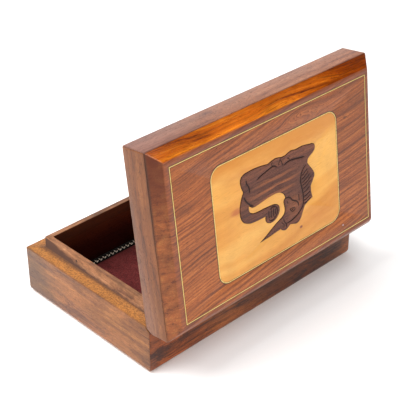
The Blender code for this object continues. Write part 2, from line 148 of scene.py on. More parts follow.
def add_area_light(name, azimuth, elevation, distance, size, power):
    data = bpy.data.lights.new(name, "AREA")
    data.shape = "DISK"
    data.size = size
    data.energy = power
    light = bpy.data.objects.new(name, data)
    bpy.context.scene.collection.objects.link(light)
    towards = direction(math.radians(azimuth), math.radians(elevation))
    light.location = towards * distance + Vector((0, 0, 0.06))
    light.rotation_mode = "QUATERNION"
    light.rotation_quaternion = towards.to_track_quat("Z", "Y")


def make_world():
    """A white surround with one dark patch, the opening of a light tent, which the front chamfer reflects."""
    world = bpy.data.worlds.new("studio")
    world.use_nodes = True
    tree = world.node_tree
    towards = tree.nodes.new("ShaderNodeTexCoord").outputs["Generated"]
    nearness = tree.nodes.new("ShaderNodeVectorMath")
    nearness.operation = "DOT_PRODUCT"
    nearness.inputs[1].default_value = direction(DARK_AZIMUTH, DARK_ELEVATION)
    tree.links.new(towards, nearness.inputs[0])
    shade = tree.nodes.new("ShaderNodeValToRGB")
    tree.links.new(nearness.outputs["Value"], shade.inputs[0])
    edge, middle = shade.color_ramp.elements
    edge.position, edge.color = math.cos(DARK_RADIUS), (1, 1, 1, 1)
    middle.position, middle.color = math.cos(DARK_CORE), (0.03, 0.03, 0.03, 1)
    background = tree.nodes["Background"]
    tree.links.new(shade.outputs[0], background.inputs["Color"])
    background.inputs["Strength"].default_value = 1.05
    bpy.context.scene.world = world


def make_studio():
    bpy.context.scene.view_settings.view_transform = "Standard"
    make_world()
    add_area_light("key_light", azimuth=62, elevation=58, distance=1.1, size=0.8, power=10.5)
    add_area_light("fill_light", azimuth=170, elevation=60, distance=1.4, size=1.0, power=10)
    bpy.ops.mesh.primitive_plane_add(size=6)
    floor = bpy.context.object
    floor.name = "floor"
    floor.location.z = min(CAD_BOX[0].z, 0) - 0.0002
    paper = Graph("pale_floor")
    floor.data.materials.append(paper.finish(
        Base_Color=(0.98, 0.965, 0.96, 1), Roughness=0.9, Specular_IOR_Level=0.1))


# ---------------------------------------------------------------- node helpers

class Value:
    """A node's output, which adds, subtracts and multiplies like a number by making more nodes."""

    def __init__(self, graph, socket):
        self.graph = graph
        self.socket = socket

    def __add__(self, other):
        return self.graph.math("ADD", self, other)

    def __sub__(self, other):
        return self.graph.math("SUBTRACT", self, other)

    def __rsub__(self, other):
        return self.graph.math("SUBTRACT", other, self)

    def __mul__(self, other):
        return self.graph.math("MULTIPLY", self, other)

    def __neg__(self):
        return self * -1.0

    def __abs__(self):
        return self.graph.math("ABSOLUTE", self)

    __radd__, __rmul__ = __add__, __mul__

    def ease(self, low, high):
        """0 below low, 1 above high and smooth between; low may be above high."""
        inputs = {"Value": self, "From Min": low, "From Max": high}
        return self.graph.add("MapRange", inputs, interpolation_type="SMOOTHSTEP")


class Graph:
    """A material's node tree; place, x, y and z are closed-box millimetres. Most methods give a Value."""

    def __init__(self, name):
        self.material = bpy.data.materials.new(name)
        self.material.use_nodes = True
        self.tree = self.material.node_tree
        self.shader = self.tree.nodes["Principled BSDF"]
        self.place = self.scaled(self.add("TexCoord", {}, "Object"), (1000, 1000, 1000))
        self.x, self.y, self.z = self.split(self.place)

    def put(self, target, value):
        """Links a Value to an input, or sets the input to a plain number, colour or vector."""
        if isinstance(value, Value):
            self.tree.links.new(value.socket, target)
        else:
            target.default_value = value

    def add(self, kind, inputs, output=0, **settings):
        """Adds a node and gives one of its outputs."""
        node = self.tree.nodes.new("ShaderNode" + kind)
        for key, value in settings.items():
            setattr(node, key, value)
        for key, value in inputs.items():
            self.put(node.inputs[key], value)
        return Value(self, node.outputs[output])

    def split(self, vector):
        outputs = self.add("SeparateXYZ", {0: vector}).socket.node.outputs
        return [Value(self, output) for output in outputs]

    def join(self, x, y, z):
        return self.add("CombineXYZ", {0: x, 1: y, 2: z})

    def math(self, operation, a, b=0.0):
        return self.add("Math", {0: a, 1: b}, operation=operation)

    def either(self, a, b):
        return self.math("MAXIMUM", a, b)

    def scaled(self, vector, scale):
        return self.add("VectorMath", {0: vector, 1: scale}, operation="MULTIPLY")

    def shifted(self, vector, offset):
        return self.add("VectorMath", {0: vector, 1: offset}, operation="ADD")

    def length(self, vector):
        return self.add("VectorMath", {0: vector}, "Value", operation="LENGTH")

    def noise(self, vector, detail=2.0, rough=0.5):
        return self.add("TexNoise", {"Vector": vector, "Scale": 1.0, "Detail": detail, "Roughness": rough})

    def clouds(self, scale, detail=2.0, rough=0.5):
        """Noise over the piece; scale is about how many lumps there are to a millimetre in X, Y and Z."""
        return self.noise(self.scaled(self.place, scale), detail, rough)

    def ramp(self, value, stops):
        made = self.add("ValToRGB", {0: value})
        elements = made.socket.node.color_ramp.elements
        while len(elements) < len(stops):
            elements.new(0.5)
        for element, (position, colour) in zip(elements, stops):
            element.position = position
            element.color = (*colour, 1)
        return made

    def mix(self, factor, a, b, blend="MIX"):
        a, b = (value if isinstance(value, Value) else (*value, 1) for value in (a, b))
        settings = {"data_type": "RGBA", "blend_type": blend, "clamp_result": True}
        return self.add("Mix", {0: factor, 6: a, 7: b}, 2, **settings)

    def tint(self, factor, colour, by):
        """The colour multiplied by another, as far as factor goes."""
        return self.mix(factor, colour, by, "MULTIPLY")

    def shaded(self, colour, value, *stops):
        """The colour made darker or lighter by a value; each stop is (value, brightness)."""
        greys = [(position, (brightness,) * 3) for position, brightness in stops]
        return self.tint(1.0, colour, self.ramp(value, greys))

    def between(self, factor, a, b):
        """A plain number between a and b."""
        return self.add("Mix", {0: factor, 2: a, 3: b}, data_type="FLOAT")

    def bump(self, height, distance):
        return self.add("Bump", {"Height": height, "Distance": distance * MM, "Strength": 1.0})

    def finish(self, **sockets):
        """Links or sets the shader's inputs, named with _ for spaces."""
        for key, value in sockets.items():
            self.put(self.shader.inputs[key.replace("_", " ")], value)
        return self.material


def beyond(graph, half_x, half_y):
    """How far a point is outside an upright rectangular shaft round the middle; negative inside it."""
    over_x = abs(graph.x) - half_x
    return graph.either(over_x, abs(graph.y) - half_y)


def hairline(distance, half_width):
    """1 where the distance is near 0, fading out at half_width."""
    return abs(distance).ease(half_width, half_width * 0.35)


def spot(graph, centre, radii, place=None):
    """1 at the middle of an ellipsoid and 0 outside it."""
    away = graph.shifted(graph.place if place is None else place, tuple(-value for value in centre))
    return graph.length(graph.scaled(away, tuple(1 / radius for radius in radii))).ease(1.0, 0.3)


# ---------------------------------------------------------------- wood

# Each palette is (dark streak, middle, light streak, pore).
ROSEWOOD = ((0.130, 0.032, 0.010), (0.290, 0.078, 0.017), (0.390, 0.118, 0.027), (0.066, 0.017, 0.008))
WALNUT = ((0.080, 0.032, 0.018), (0.190, 0.074, 0.026), (0.300, 0.125, 0.038), (0.050, 0.020, 0.012))
RAW_WOOD = ((0.150, 0.060, 0.026), (0.270, 0.115, 0.044), (0.350, 0.165, 0.070), (0.085, 0.036, 0.020))
SIDE_CHAMFER = ((0.072, 0.014, 0.003), (0.215, 0.054, 0.009), (0.300, 0.105, 0.022), (0.035, 0.010, 0.004))
SHADED_WOOD = ((0.052, 0.015, 0.006), (0.190, 0.050, 0.010), (0.310, 0.088, 0.018), (0.030, 0.010, 0.005))
GOLDEN_WOOD = ((0.230, 0.076, 0.016), (0.370, 0.140, 0.030), (0.470, 0.205, 0.055), (0.120, 0.042, 0.012))
ORANGE_WOOD = ((0.095, 0.016, 0.002), (0.290, 0.056, 0.002), (0.440, 0.112, 0.004), (0.060, 0.010, 0.001))
# Dark stain inside the box and the lid, with painted shade in it.
STAINED_AND_SHADED = ((0.040, 0.007, 0.001), (0.085, 0.016, 0.002), (0.150, 0.034, 0.004), (0.012, 0.003, 0.001))
HORSE_WOOD = ((0.070, 0.026, 0.020), (0.126, 0.043, 0.026), (0.185, 0.064, 0.031), (0.040, 0.014, 0.011))
GRIME_AND_SHADE = (0.058, 0.022, 0.012)
# Dark brown for the glue in the joints, for the darkening where the lip meets the shelf, and for painted
# shade in the seam under the board.
GLUE = (0.035, 0.016, 0.010)

# Marks in the wood and one painted sheen, each the centre and the radii of an ellipsoid in closed-box
# millimetres.
NAIL_HOLE = ((LIP_X, -20.5, 42.75), (1.6, 1.05, 1.4))
# A near-black spot on the rear right corner, just under the lid's rim.
REAR_CORNER_SPOT = ((HALF_X, HALF_Y - 0.8, SHELF_Z), (1.6, 2.4, 1.1))
# A darker patch over the far end of the rear wall.
REAR_DARK_PATCH = ((-38, HALF_Y, 14), (75, 20, 40))
# Painted sheen across the middle of the right wall.
RIGHT_WALL_SHEEN = ((HALF_X, 2, 14), (30, 48, 24))
CHAMFER_GLOW = ((20, -HALF_Y, TOP_Z - 5), (105, 40, 16))
CORNER_BURL = ((HALF_X - 4, -62, TOP_Z - 5), (9, 15, 9))
DENT = ((-68, -31, TOP_Z), (2.6, 1.4, 2))
CHIP = ((-62, 49, TOP_Z), (0.9, 0.6, 1))
PANEL_STAIN = ((39.0, -1.6, TOP_Z), (8.0, 3.8, 6))
PANEL_KNOT = ((-19.0, 31.8, TOP_Z), (2.0, 1.4, 3))
PANEL_FLAMES = (
    ((-22, -31, TOP_Z), (44, 9, 9), 1.0),
    ((28, -27, TOP_Z), (30, 8, 9), 1.0),
    ((-40, 31, TOP_Z), (22, 9, 9), 0.8),
)
HORSE_BODY = ((4, -8, TOP_Z), (31, 13, 20))
HORSE_HEAD = ((-13, 13, TOP_Z), (10, 12, 20))

# The board's knots, each (centre, radius, push).
BOARD_KNOTS = (((-25, -46, TOP_Z), 8, 7), ((44, -37, TOP_Z), 5, 3))
GRAIN_AXIS = {"front": 0, "rear": 0, "left": 1, "right": 1}
STRIPE_PITCH = 5.6
STRIPE_Y = -2.2


def tinted(palette, tint):
    return [tuple(channel * factor for channel, factor in zip(colour, tint)) for colour in palette]


def grain(graph, along, seed, wave=5.0, band=0.32, fine=1.0, tilt=0.0, layers=1.0, knots=()):
    """Wood figure with the grain along axis 0, 1 or 2, as a dict of values from about 0 to 1.

    band and fine are how many broad and narrow streaks there are to a millimetre, and wave is how far they
    wander. tilt is how steeply the grain runs across the piece. layers is how fast the figure changes
    downwards, against across. The grain runs round each knot, which is (centre, radius, push).
    """
    across = [axis for axis in range(3) if axis != along]

    def streaks(where, lengthways, crossways, detail=2.0, rough=0.5):
        scale = [crossways] * 3
        scale[2] *= layers
        scale[along] = lengthways
        return graph.noise(graph.scaled(where, tuple(scale)), detail, rough)

    start = graph.shifted(graph.place, (seed * 37.1, seed * 91.7, seed * 53.3))
    drift = streaks(start, 0.012, 0.014, detail=1.0)
    ripple = streaks(start, 0.04, 0.05)
    push = (drift - 0.5) * (wave * 2.4) + (ripple - 0.5) * (wave * 0.45)
    push += (graph.x, graph.y, graph.z)[along] * -tilt
    for centre, radius, strength in knots:
        away = graph.shifted(graph.place, tuple(-value for value in centre))
        squeeze = [1 / radius] * 3
        squeeze[along] = 0.45 / radius
        distance = graph.length(graph.scaled(away, tuple(squeeze)))
        near = graph.math("POWER", 2.718, -(distance * distance))
        side = graph.math("TANH", graph.split(away)[across[0]] * (2 / radius))
        push += near * side * -strength
    offset = [0.0, 0.0, 0.0]
    offset[across[0]] = push
    offset[across[1]] = push * 0.3
    bent = graph.shifted(start, graph.join(*offset))
    return {
        "bands": streaks(bent, 0.007, band, rough=0.55),
        "lines": streaks(bent, 0.024, fine, detail=3.0, rough=0.6),
        "fibres": streaks(bent, 0.08, 2.8, rough=0.65),
        "pores": streaks(bent, 0.26, 2.8, detail=1.0).ease(0.60, 0.70),
        "mottle": streaks(start, 0.03, 0.07, detail=3.0),
    }


def tones(graph, figure, palette, contrast=1.0, pore_strength=0.6, clouds=0.13):
    """Colours a wood figure: streaks from dark to light, growth lines, fibres, pores and slow variation."""
    dark, middle, light, pore = palette
    reach = 0.15 / contrast
    streaks = figure["bands"] * 0.55 + figure["lines"] * 0.45
    colour = graph.ramp(streaks, [
        (0.5 - reach, dark), (0.5 - reach * 0.25, middle), (0.5 + reach * 0.2, middle), (0.5 + reach, light)])
    colour = graph.mix(figure["lines"].ease(0.55, 0.66) * 0.5, colour, dark)
    colour = graph.mix(figure["lines"].ease(0.44, 0.34) * 0.4, colour, light)
    colour = graph.shaded(colour, figure["fibres"], (0.30, 0.70), (0.66, 1.18))
    colour = graph.shaded(colour, figure["mottle"], (0.3, 1 - clouds), (0.7, 1 + clouds))
    return graph.mix(figure["pores"] * pore_strength, colour, pore)


def polish(graph, figure, low=0.34, high=0.5, depth=0.05):
    """Roughness and bump of waxed wood: the pores are open and dull."""
    rough = graph.between(figure["mottle"], low, high) + figure["pores"] * 0.2
    height = figure["fibres"] * 0.4 - figure["pores"] * 0.8
    return {"Roughness": rough, "Normal": graph.bump(height, depth)}


WAXED = {"Specular_IOR_Level": 0.28, "Coat_Weight": 0.12, "Coat_Roughness": 0.15}


def mitred(graph, colour):
    """The colour with a dark glue line in the corner joints."""
    from_joint = (abs(graph.x) - HALF_X) - (abs(graph.y) - HALF_Y)
    return graph.mix(hairline(from_joint, 0.3) * 0.7, colour, GRIME_AND_SHADE)


def near_front(graph):
    """1 towards the front of the box and 0 towards the hinges."""
    return graph.y.ease(30.0, -40.0)


def outer_wall(graph, side, figure, patches, palette, contrast, clouds):
    """The waxed face, with a painted highlight along the foot, painted lid shadow along the rear wall's top
    and a painted sheen on the right wall's paler middle.
    """
    colour = tones(graph, figure, palette, contrast, clouds=clouds)
    if side == "rear":
        # Painted shadow of the open lid along the top of the rear wall, with a streaky edge, strongest
        # towards the far end.
        lid_shadow = (graph.z + (figure["bands"] - 0.5) * 60.0).ease(14.0, 24.0)
        darkest = graph.between(graph.x.ease(80.0, 20.0), 0.35, 0.75)
        colour = graph.mix(lid_shadow * darkest, colour, SHADED_WOOD[0])
        # The rear wall darker towards its far end.
        colour = graph.tint(spot(graph, *REAR_DARK_PATCH), colour, (0.42, 0.34, 0.22))
        colour = graph.tint(graph.x.ease(35.0, 70.0), colour, (1.25, 1.00, 0.70))
    if side == "right":
        colour = graph.tint(graph.y.ease(-25.0, -60.0), colour, (0.80, 0.88, 1.00))
        # Painted sheen: the right wall lighter across its middle.
        colour = graph.tint(spot(graph, *RIGHT_WALL_SHEEN), colour, (1.30, 1.27, 1.20))
    # Painted highlight along the bottom edge, in patches.
    foot_highlight = graph.z.ease(2.0, 0.9) * patches.ease(0.30, 0.46)
    return graph.mix(foot_highlight * 0.8, colour, GOLDEN_WOOD[1])


def raw_lip(graph, side, figure, patches, ragged):
    """Bare worn wood, darker low down where it meets the shelf; the right wall's is also stained and has a
    nail hole.
    """
    colour = tones(graph, figure, tinted(RAW_WOOD, (1.0, 0.97, 1.05)), 1.8, clouds=0.3)
    colour = graph.shaded(colour, patches, (0.40, 0.84), (0.60, 1.20))
    if side == "right":
        stain_top = LIP_TOP + 2.0 - (graph.y + (HALF_Y - SHELF)) * 0.15
        stain = (stain_top + ragged * 1.8 - graph.z).ease(-0.5, 3.5)
    else:
        stain = patches.ease(0.52, 0.66) * graph.z.ease(LIP_TOP - 0.5, LIP_TOP - 4)
    # Darker low down where the lip meets the shelf.
    lip_foot_darkening = (graph.z + ragged).ease(SHELF_Z + 3.4, SHELF_Z + 0.4)
    stain = graph.either(stain, lip_foot_darkening * 0.7)
    under_top = graph.z.ease(LIP_TOP - 0.1, LIP_TOP - 0.8)
    colour = graph.mix(stain * under_top * 0.95, colour, GRIME_AND_SHADE)
    if side == "right":
        colour = graph.mix(spot(graph, *NAIL_HOLE), colour, (0.006, 0.003, 0.002))
    return colour


def wall_wood(side, seed, palette, shelf_palette, contrast, clouds):
    """A base wall: waxed outside, raw on the shelf and the lip, and stained dark inside, with painted shade
    there.
    """
    graph = Graph(f"base_{side}_wood")
    y, z = graph.y, graph.z
    figure = grain(graph, GRAIN_AXIS[side], seed, wave=16.0, band=0.13, fine=0.75, tilt=0.04)
    patches = graph.clouds((0.16, 0.16, 0.3), detail=4.0, rough=0.6)
    ragged = (patches - 0.5) * 5.0
    colour = outer_wall(graph, side, figure, patches, palette, contrast, clouds)

    above = z.ease(SHELF_Z - 0.35, SHELF_Z - 0.05)
    inwards = -beyond(graph, HALF_X, HALF_Y)
    on_shelf = above * (inwards + ragged * 0.5).ease(0.3, 1.6)
    speckle = graph.clouds((0.9, 0.9, 0.9), detail=4.0, rough=0.7)
    raw_shelf = tones(graph, figure, shelf_palette, 0.8)
    raw_shelf = graph.shaded(raw_shelf, speckle, (0.36, 0.50), (0.50, 0.88), (0.64, 1.25))
    colour = graph.mix(on_shelf, colour, raw_shelf)
    from_lip = beyond(graph, LIP_X, LIP_Y)
    reach = 2.2 + (y + ragged * 6.0).ease(25.0, -35.0) * 3.0
    # Darker on the shelf along the foot of the lip, reaching further towards the front.
    shelf_darkening = above * from_lip.ease(reach, 0.0) * z.ease(SHELF_Z + 1.4, SHELF_Z + 0.2)
    colour = graph.mix(shelf_darkening * 0.75, colour, GRIME_AND_SHADE)

    on_lip = z.ease(SHELF_Z + 0.1, SHELF_Z + 0.5) * from_lip.ease(0.4, 0.2)
    colour = graph.mix(on_lip, colour, raw_lip(graph, side, figure, patches, ragged))
    from_inner = beyond(graph, INSIDE_X, INSIDE_Y)
    inside = from_inner.ease(0.30, 0.12) * z.ease(LIP_TOP - 0.1, LIP_TOP - 0.5)
    # Inside the wall: dark stain with painted shade.
    colour = graph.mix(inside, colour, tones(graph, figure, STAINED_AND_SHADED))
    # A near-black spot at the rear right corner, under the lid's rim.
    colour = graph.mix(spot(graph, *REAR_CORNER_SPOT), mitred(graph, colour), (0.010, 0.005, 0.004))
    surface = polish(graph, figure)
    surface["Roughness"] = graph.either(surface["Roughness"], above * 0.72)
    return graph.finish(Base_Color=colour, **surface, **WAXED)


def rail_wood(side, seed, tint):
    """A lid rail: waxed outside, stained dark with painted shade inside, raw on its lower edge, and dark
    along the glue line with painted shade in the seam under the board.
    """
    graph = Graph(f"lid_{side}_wood")
    z = graph.z
    figure = grain(graph, GRAIN_AXIS[side], seed, wave=9.0, band=0.2, tilt=0.05)
    colour = tones(graph, figure, tinted(ROSEWOOD, tint), 1.2, clouds=0.15)
    if side == "front":
        colour = graph.tint(graph.x.ease(20.0, 95.0), colour, (0.72, 0.74, 0.95))
    colour = mitred(graph, colour)
    # A dark line under the board's edge: the glue line with painted shade in the seam, strongest towards the
    # front and faint on the front rail.
    glue = 0.12 if side == "front" else graph.between(near_front(graph), 0.15, 0.75)
    colour = graph.mix(z.ease(BOARD_Z - 0.7, BOARD_Z - 0.15) * glue, colour, GRIME_AND_SHADE)
    colour = graph.mix(z.ease(RIM_Z + 0.35, RIM_Z + 0.1), colour, tones(graph, figure, RAW_WOOD))
    inside = beyond(graph, LID_INSIDE_X, LID_INSIDE_Y).ease(0.45, 0.2)
    # Inside the rail: dark stain with painted shade.
    colour = graph.mix(inside, colour, tones(graph, figure, STAINED_AND_SHADED))
    return graph.finish(Base_Color=colour, **polish(graph, figure), **WAXED)


def border_distance(graph):
    """Distance in plan from the outer edge of the panel's border, a rounded rectangle; negative inside."""
    over_x = abs(graph.x) - (BORDER_X - BORDER_ROUND)
    over_y = abs(graph.y - PANEL_Y) - (BORDER_Y - BORDER_ROUND)
    corner = graph.length(graph.join(graph.either(over_x, 0.0), graph.either(over_y, 0.0), 0.0))
    flat = graph.math("MINIMUM", graph.either(over_x, over_y), 0.0)
    return corner + flat - BORDER_ROUND


def board_top(graph, figure):
    """Speckled rosewood, paler towards the hinges and towards the right."""
    colour = tones(graph, figure, ROSEWOOD, 2.0)
    speck = graph.clouds((0.55, 2.2, 0.4), detail=3.0, rough=0.7)
    colour = graph.shaded(colour, speck, (0.36, 0.82), (0.64, 1.16))
    faded = graph.ramp(graph.y.ease(-75.0, 75.0), [
        (0.0, (0.86, 0.80, 0.72)), (0.55, (1.04,) * 3), (1.0, (1.10,) * 3)])
    colour = graph.tint(1.0, colour, faded)
    return graph.tint(graph.x.ease(10.0, 80.0), colour, (1.10, 1.10, 1.06))


def front_chamfer(graph):
    """Oiled orange wood, brightest in the middle, streakier to the left and darker along its lower edge."""
    figure = grain(graph, 0, 5, wave=5.0, band=0.2, fine=0.8, tilt=-0.05)
    colour = tones(graph, figure, ORANGE_WOOD, 1.8, clouds=0.25)
    colour = graph.tint(spot(graph, *CHAMFER_GLOW), colour, (1.45, 1.65, 3.50))
    left_end = graph.x.ease(-35.0, -80.0)
    colour = graph.tint(left_end, colour, (0.78, 0.62, 0.25))
    streaks = graph.between(left_end, 0.30, 1.0) * figure["lines"].ease(0.48, 0.60)
    low_edge = graph.z.ease(BOARD_Z + 4.0, BOARD_Z + 0.5) * 0.35
    return graph.mix(graph.either(streaks, low_edge) * 0.8, colour, ORANGE_WOOD[0])


def side_chamfers(graph, colour, figure, where):
    """Steep browner figure over the board's own, with dark burl towards the front corners."""
    ends = grain(graph, 0, 6, wave=7.0, band=0.20, fine=0.8, tilt=0.35)
    colour = graph.mix(where * 0.75, colour, tones(graph, ends, SIDE_CHAMFER, 1.5, clouds=0.3))
    burl = graph.either(spot(graph, *CORNER_BURL), graph.y.ease(-10.0, -48.0) * 0.85)
    burl = burl * figure["mottle"].ease(0.30, 0.48)
    return graph.mix(where * burl * 0.95, colour, (0.082, 0.013, 0.001))


def board_marks(graph, colour, front):
    """Worn edges round the top, glue with painted seam shade under the board, glue beside the brass, a dent
    and a chip.
    """
    z = graph.z
    arris = beyond(graph, HALF_X - CHAMFER, HALF_Y - CHAMFER).ease(-3.0, -2.6)
    arris = arris * z.ease(TOP_Z - 0.9, TOP_Z - 0.4)
    colour = graph.mix(arris * 0.45, colour, (0.150, 0.045, 0.030))
    # The board's lower edge darkened with the glue line and painted seam shade.
    under = graph.between(front, graph.between(near_front(graph), 0.35, 0.85), 0.12)
    colour = graph.mix(z.ease(BOARD_Z + 1.3, BOARD_Z + 0.2) * under, colour, GRIME_AND_SHADE)
    line_glue = hairline(beyond(graph, LINE_X, LINE_Y), 0.8) * 0.55
    border_glue = hairline(border_distance(graph) - 0.1, 0.55)
    glue = graph.either(line_glue, border_glue) * z.ease(TOP_Z - 3, TOP_Z - 0.5)
    colour = graph.mix(glue * 0.85, colour, GLUE)
    colour = graph.mix(spot(graph, *DENT) * 0.7, colour, ROSEWOOD[3])
    return graph.mix(spot(graph, *CHIP), colour, (0.42, 0.50, 0.58))


def board_wood():
    """The lid's solid top board: rosewood, with an oiled orange front chamfer."""
    graph = Graph("lid_board_wood")
    figure = grain(graph, 0, 3, wave=4.0, band=0.5, fine=1.8, tilt=0.15, layers=0.15, knots=BOARD_KNOTS)
    from_side = abs(graph.x) - HALF_X
    from_front = -graph.y - HALF_Y
    slope = graph.z.ease(TOP_Z - 0.1, TOP_Z - 1.2)
    front = (from_front - from_side).ease(-0.5, 0.5)
    on_front = front * slope
    on_side = (from_side - from_front).ease(-0.5, 0.5) * slope
    colour = graph.mix(on_front, board_top(graph, figure), front_chamfer(graph))
    colour = side_chamfers(graph, colour, figure, on_side)
    colour = board_marks(graph, colour, front)
    surface = polish(graph, figure)
    surface["Roughness"] = graph.between(on_front, surface["Roughness"], 0.17)
    return graph.finish(Base_Color=colour, **surface, **WAXED)


def panel_wood():
    """The pale inlaid panel: soft streaks, amber patches, one stain and one pin knot."""
    graph = Graph("light_panel_wood")
    figure = grain(graph, 0, 8, wave=20.0, band=0.05, tilt=0.06)
    colour = graph.ramp(figure["bands"], [
        (0.34, (0.570, 0.225, 0.037)), (0.48, (0.660, 0.300, 0.056)), (0.62, (0.710, 0.365, 0.084))])
    colour = graph.shaded(colour, graph.clouds((0.09, 0.06, 0.05)), (0.35, 0.96), (0.65, 1.03))
    colour = graph.shaded(colour, figure["fibres"], (0.28, 0.93), (0.66, 1.04))
    colour = graph.mix(figure["pores"] * 0.16, colour, (0.30, 0.12, 0.03))
    smear = graph.clouds((0.06, 0.3, 0.3))
    flame = 0.0
    for centre, radii, strength in PANEL_FLAMES:
        flame = graph.either(flame, spot(graph, centre, radii) * strength)
    colour = graph.mix(flame * smear.ease(0.30, 0.65) * 0.65, colour, (0.520, 0.185, 0.030))
    front_strip = (graph.y + (smear - 0.5) * 16.0).ease(-22.0, -40.0)
    colour = graph.mix(front_strip * 0.8, colour, (0.530, 0.195, 0.032))
    pulled = graph.shifted(graph.place, graph.join(0, smear * 4.0, 0))
    stain = spot(graph, *PANEL_STAIN, place=pulled)
    colour = graph.mix(stain * 0.9, colour, (0.43, 0.120, 0.032))
    colour = graph.mix(spot(graph, *PANEL_KNOT), colour, (0.20, 0.055, 0.025))
    return graph.finish(Base_Color=colour, **polish(graph, figure, 0.38, 0.48, 0.02), **WAXED)


def carved_wood(proud):
    """The horse: purple-brown wood, paler stripes along its back, darkest in the cuts and round the rim."""
    graph = Graph("dark_carved_wood")
    figure = grain(graph, 0, 12, wave=2.5, band=0.3, fine=1.4)
    colour = tones(graph, figure, HORSE_WOOD, 1.8, 0.8)
    drift = (graph.clouds((0.03, 0.05, 0.05)) - 0.5) * 9.0
    turns = (graph.y - STRIPE_Y + drift) * (2 * math.pi / STRIPE_PITCH)
    stripe = graph.math("COSINE", turns).ease(-0.1, 0.9)
    body = spot(graph, *HORSE_BODY)
    pale = graph.either(stripe * body, spot(graph, *HORSE_HEAD) * 0.55)
    pale = pale * graph.ramp(figure["lines"], [(0.40, (1.0,) * 3), (0.62, (0.35,) * 3)])
    between = (1.0 - stripe) * body
    colour = graph.mix(between * 0.45, colour, (0.060, 0.021, 0.015))
    colour = graph.mix(pale * 0.85, colour, (0.320, 0.105, 0.038))
    fleck = graph.clouds((0.9, 1.7, 1.0), detail=3.0, rough=0.7)
    colour = graph.shaded(colour, fleck, (0.36, 0.78), (0.64, 1.24))
    cut = graph.z.ease(TOP_Z + proud - 0.10, TOP_Z + proud - 0.30)
    colour = graph.mix(cut * 0.95, colour, (0.018, 0.005, 0.003))
    return graph.finish(Base_Color=colour, **polish(graph, figure, 0.45, 0.6), Specular_IOR_Level=0.25)


def plywood():
    """The thin bottom panel, unfinished."""
    graph = Graph("bottom_panel_wood")
    figure = grain(graph, 0, 21, band=0.12)
    colour = tones(graph, figure, tinted(RAW_WOOD, (0.95, 1.05, 1.15)), 0.7)
    return graph.finish(Base_Color=colour, **polish(graph, figure, 0.6, 0.75))


# ---------------------------------------------------------------- brass, cloth and card

def brass(name, tarnish, sunk=None, core=0.0):
    """Hand-worked brass, duller and browner in patches; tarnish is from 0 to 1.

    sunk takes a graph and gives how far a point is from the middle of an inlaid strip, which is dark with
    glue and polish beyond core.
    """
    graph = Graph(name)
    patches = graph.clouds((0.5, 0.5, 0.5), detail=4.0, rough=0.65)
    fine = graph.clouds((3.0, 3.0, 3.0))
    colour = graph.ramp(patches, [
        (0.30, (0.64, 0.42, 0.13)), (0.50, (0.84, 0.61, 0.23)), (0.7, (0.93, 0.74, 0.34))])
    spread = fine + patches * 0.6
    dull = spread.ease(0.95 - 0.3 * tarnish, 0.6) * tarnish
    colour = graph.mix(dull, colour, (0.26, 0.17, 0.07))
    if sunk:
        side = (sunk(graph) + (patches - 0.5) * 0.4).ease(core, core + 0.16)
        colour = graph.mix(side * 0.9, colour, (0.10, 0.048, 0.018))
    rough = graph.between(patches, 0.46, 0.26) + dull * 0.2
    height = patches * 0.6 + fine * 0.4
    return graph.finish(Base_Color=colour, Roughness=rough, Normal=graph.bump(height, 0.05), Metallic=1.0)


def from_line(graph):
    """Distance from the middle of the thin brass line round the board."""
    return abs(beyond(graph, LINE_X, LINE_Y))


def from_border(graph):
    """Distance from the middle of the brass border round the panel."""
    return abs(border_distance(graph) + 0.45)


def velvet():
    """Burgundy pile, tufted finely and brushed in slow patches."""
    graph = Graph("burgundy_velvet")
    pile = graph.clouds((2.6, 2.6, 2.6), rough=0.7)
    brushed = graph.clouds((0.16, 0.09, 0.1), detail=3.0)
    tufts = graph.clouds((0.7, 0.7, 0.7), detail=3.0, rough=0.7)
    colour = graph.ramp(brushed, [(0.35, (0.088, 0.011, 0.011)), (0.65, (0.130, 0.020, 0.019))])
    colour = graph.shaded(colour, tufts, (0.36, 0.66), (0.64, 1.40))
    colour = graph.shaded(colour, pile, (0.3, 0.72), (0.7, 1.25))
    return graph.finish(
        Base_Color=colour, Roughness=0.9, Specular_IOR_Level=0.15, Normal=graph.bump(pile, 0.25),
        Sheen_Weight=0.35, Sheen_Roughness=0.4, Sheen_Tint=(0.85, 0.45, 0.42, 1))


def yarn(name, dark, light):
    """Twisted silky yarn."""
    graph = Graph(name)
    across = graph.x + graph.y + graph.z * 1.6
    twist = graph.math("SINE", across * 9.0)
    value = twist * 0.18 + graph.clouds((3.5, 3.5, 3.5))
    colour = graph.ramp(value, [(0.3, dark), (0.7, light)])
    return graph.finish(
        Base_Color=colour, Roughness=0.6, Normal=graph.bump(value, 0.12), Specular_IOR_Level=0.2)


def card():
    """Stiff grey-brown card, flecked with pulp."""
    graph = Graph("grey_card")
    pulp = graph.clouds((0.8, 0.8, 0.8), detail=5.0, rough=0.7)
    colour = graph.ramp(pulp, [(0.35, (0.20, 0.16, 0.115)), (0.65, (0.34, 0.285, 0.215))])
    return graph.finish(
        Base_Color=colour, Roughness=0.92, Normal=graph.bump(pulp, 0.08), Specular_IOR_Level=0.2)


# ---------------------------------------------------------------- pieces

def add_piece(name, bm, materials, body, replaced, smooth_degrees=40):
    """Makes a mesh in closed-box millimetres into a piece that rides on a body and stands for CAD nodes."""
    bm.transform(Matrix.Scale(MM, 4))
    mesh = bpy.data.meshes.new(name)
    bm.to_mesh(mesh)
    bm.free()
    for material in materials:
        mesh.materials.append(material)
    mesh.shade_smooth()
    mesh.set_sharp_from_angle(angle=math.radians(smooth_degrees))
    piece = bpy.data.objects.new(name, mesh)
    bpy.context.scene.collection.objects.link(piece)
    piece.matrix_world = PLACES[body]
    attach(piece, body)
    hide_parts(replaced)
    return piece


